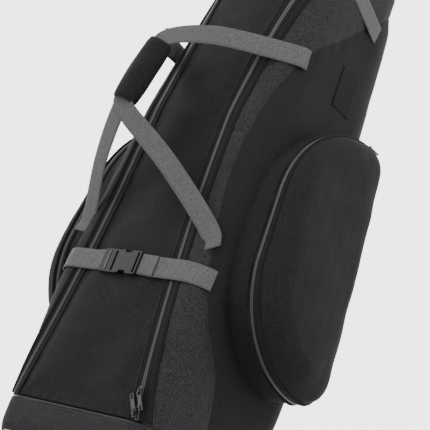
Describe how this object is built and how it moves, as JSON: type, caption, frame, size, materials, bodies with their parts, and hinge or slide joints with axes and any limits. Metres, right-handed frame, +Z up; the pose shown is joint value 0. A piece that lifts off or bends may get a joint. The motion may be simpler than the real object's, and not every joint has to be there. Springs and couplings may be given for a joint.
{
  "type": "golf travel case",
  "caption": "Tall padded golf travel case on two wheels with a zipped front lid, buckled compression straps, a carry handle and domed side pockets.",
  "frame": {"origin": "on the floor plane under the middle of the base", "axes": "+Z up along the case, -Y towards the opening lid, +X towards the side with the open zip end"},
  "size_m": [0.6548, 0.472, 1.298],
  "materials": {
    "tyre": "smooth black wheel tyre",
    "grey_plastic": "moulded dark grey plastic",
    "steel": "turned steel",
    "black_plastic": "moulded black plastic",
    "coil": "nylon zip coil",
    "zip_metal": "black coated zip metal",
    "webbing": "grey woven webbing",
    "foam": "padding foam",
    "lining": "smooth lining cloth",
    "tape": "black zip tape",
    "badge": "plain woven patch",
    "dark_cloth": "black oxford cloth",
    "cloth": "black heathered oxford cloth"
  },
  "bodies": {
    "case": {"axle_left": "steel", "axle_right": "steel", "back_panel": "dark_cloth", "base_band": "cloth", "base_runners": "black_plastic", "base_tray": "black_plastic", "body_lining": "lining", "body_padding": "foam", "body_zip_coil": "coil", "body_zip_tape": "tape", "floor_pad": "foam", "front_strip_left": "cloth", "front_strip_right": "cloth", "hood_panel_left": "cloth", "hood_panel_right": "cloth", "pocket_gusset_coil_left": "coil", "pocket_gusset_coil_right": "coil", "pocket_gusset_left": "cloth", "pocket_gusset_right": "cloth", "side_badge": "badge", "side_panel_left": "dark_cloth", "side_panel_right": "dark_cloth", "top_grab_handle": "webbing", "wheel_housing_left": "grey_plastic", "wheel_housing_right": "grey_plastic"},
    "lid": {"lid_panel": "dark_cloth", "lid_padding": "foam", "lid_lining": "lining", "lid_zip_tape": "tape", "lid_zip_coil": "coil", "lower_strap_left": "webbing", "upper_strap_left": "webbing"},
    "upper_slider": {"main_slider_upper": "zip_metal"},
    "upper_pull": {"main_pull_upper": "zip_metal"},
    "lower_slider": {"main_slider_lower": "zip_metal"},
    "lower_pull": {"main_pull_lower": "zip_metal"},
    "lower_buckle": {"lower_buckle_female": "black_plastic", "lower_strap_right": "webbing"},
    "lower_buckle_half": {"lower_buckle_male": "black_plastic"},
    "upper_buckle": {"upper_buckle_female": "black_plastic", "upper_strap_right": "webbing"},
    "upper_buckle_half": {"upper_buckle_male": "black_plastic"},
    "handle_right": {"handle_loop_right": "webbing", "handle_wrap": "cloth"},
    "handle_left": {"handle_loop_left": "webbing"},
    "pocket_lid_right": {"pocket_lid_right": "cloth", "pocket_lid_coil_right": "coil"},
    "pocket_slider_right": {"pocket_slider_right": "zip_metal"},
    "pocket_pull_right": {"pocket_pull_right": "zip_metal"},
    "wheel_right": {"wheel_tyre_right": "tyre", "wheel_hub_right": "grey_plastic", "wheel_bearings_right": "steel"},
    "pocket_lid_left": {"pocket_lid_left": "cloth", "pocket_lid_coil_left": "coil"},
    "pocket_slider_left": {"pocket_slider_left": "zip_metal"},
    "pocket_pull_left": {"pocket_pull_left": "zip_metal"},
    "wheel_left": {"wheel_tyre_left": "tyre", "wheel_hub_left": "grey_plastic", "wheel_bearings_left": "steel"}
  },
  "joints": [
    {"name": "lid_hinge", "type": "hinge", "parent": "case", "child": "lid", "pos_m": [-0.158, -0.16, 0.08], "axis": [-0.044, 0, -0.999], "range_deg": [0, 78], "deforming": ["lower_strap_left", "upper_strap_left"]},
    {"name": "upper_slider_travel", "type": "hinge", "parent": "lid", "child": "upper_slider", "pos_m": [3.294, -0.16018, 0.72], "axis": [0, 0.9995, 0.0315], "range_deg": [0, 3.1]},
    {"name": "upper_pull_hinge", "type": "hinge", "parent": "upper_slider", "child": "upper_pull", "pos_m": [0.15065, -0.14729, 0.12034], "axis": [-0.8233, 0.0179, -0.5673], "range_deg": [0, 100]},
    {"name": "lower_slider_travel", "type": "hinge", "parent": "lid", "child": "lower_slider", "pos_m": [3.294, -0.16018, 0.72], "axis": [0, 0.9995, 0.0315], "range_deg": [0, 3.1]},
    {"name": "lower_pull_hinge", "type": "hinge", "parent": "lower_slider", "child": "lower_pull", "pos_m": [0.15773, -0.14616, 0.08434], "axis": [0.8171, -0.0182, 0.5762], "range_deg": [0, 100]},
    {"name": "lower_strap_swing", "type": "hinge", "parent": "case", "child": "lower_buckle", "pos_m": [0.188, -0.126, 0.34], "axis": [0.1736, 0, 0.9848], "range_deg": [0, 179.4], "deforming": ["lower_strap_right"]},
    {"name": "upper_strap_swing", "type": "hinge", "parent": "case", "child": "upper_buckle", "pos_m": [0.149, -0.04, 1], "axis": [0, 0, 1], "range_deg": [0, 179.4], "deforming": ["upper_strap_right"]},
    {"name": "lower_buckle_release", "type": "slide", "parent": "lower_buckle", "child": "lower_buckle_half", "axis": [-1, 0, 0], "range_m": [0, 0.034]},
    {"name": "upper_buckle_release", "type": "slide", "parent": "upper_buckle", "child": "upper_buckle_half", "axis": [-1, 0, 0], "range_m": [0, 0.034]},
    {"name": "handle_right_swing", "type": "hinge", "parent": "case", "child": "handle_right", "pos_m": [0.16, -0.143, 0.66], "axis": [0, 0, 1], "range_deg": [0, 150], "deforming": ["handle_loop_right"]},
    {"name": "handle_left_swing", "type": "hinge", "parent": "case", "child": "handle_left", "pos_m": [-0.16, -0.143, 0.66], "axis": [0, 0, -1], "range_deg": [0, 118], "deforming": ["handle_loop_left"]},
    {"name": "pocket_lid_right_hinge", "type": "hinge", "parent": "case", "child": "pocket_lid_right", "pos_m": [0.236, 0.1284, 0.4685], "axis": [-0.0995, 0, 0.995], "range_deg": [0, 100]},
    {"name": "pocket_slider_right_travel", "type": "hinge", "parent": "pocket_lid_right", "child": "pocket_slider_right", "pos_m": [0.22988, 0.085, 0.5297], "axis": [0.995, 0, 0.0995], "range_deg": [0, 88]},
    {"name": "pocket_pull_right_hinge", "type": "hinge", "parent": "pocket_slider_right", "child": "pocket_pull_right", "pos_m": [0.21065, 0.085, 0.72203], "axis": [0.995, 0, 0.0995], "range_deg": [0, 140]},
    {"name": "wheel_right_spin", "type": "hinge", "parent": "case", "child": "wheel_right", "pos_m": [0.146, 0.15, 0.033], "axis": [1, 0, 0], "continuous": true},
    {"name": "pocket_lid_left_hinge", "type": "hinge", "parent": "case", "child": "pocket_lid_left", "pos_m": [-0.236, 0.1284, 0.4685], "axis": [-0.0995, 0, -0.995], "range_deg": [0, 100]},
    {"name": "pocket_slider_left_travel", "type": "hinge", "parent": "pocket_lid_left", "child": "pocket_slider_left", "pos_m": [-0.22988, 0.085, 0.5297], "axis": [0.995, 0, -0.0995], "range_deg": [0, 88]},
    {"name": "pocket_pull_left_hinge", "type": "hinge", "parent": "pocket_slider_left", "child": "pocket_pull_left", "pos_m": [-0.21065, 0.085, 0.72203], "axis": [0.995, 0, -0.0995], "range_deg": [0, 140]},
    {"name": "wheel_left_spin", "type": "hinge", "parent": "case", "child": "wheel_left", "pos_m": [-0.146, 0.15, 0.033], "axis": [1, 0, 0], "continuous": true}
  ],
  "couplings": [
    {"joint": "lower_slider_travel", "follows": "upper_slider_travel", "ratio": 1},
    {"joint": "lower_strap_swing", "follows": "lid_hinge", "ratio": 2.3},
    {"joint": "upper_strap_swing", "follows": "lid_hinge", "ratio": 2.3},
    {"joint": "handle_right_swing", "follows": "lid_hinge", "ratio": 1.9},
    {"joint": "handle_left_swing", "follows": "lid_hinge", "ratio": 1.5}
  ]
}
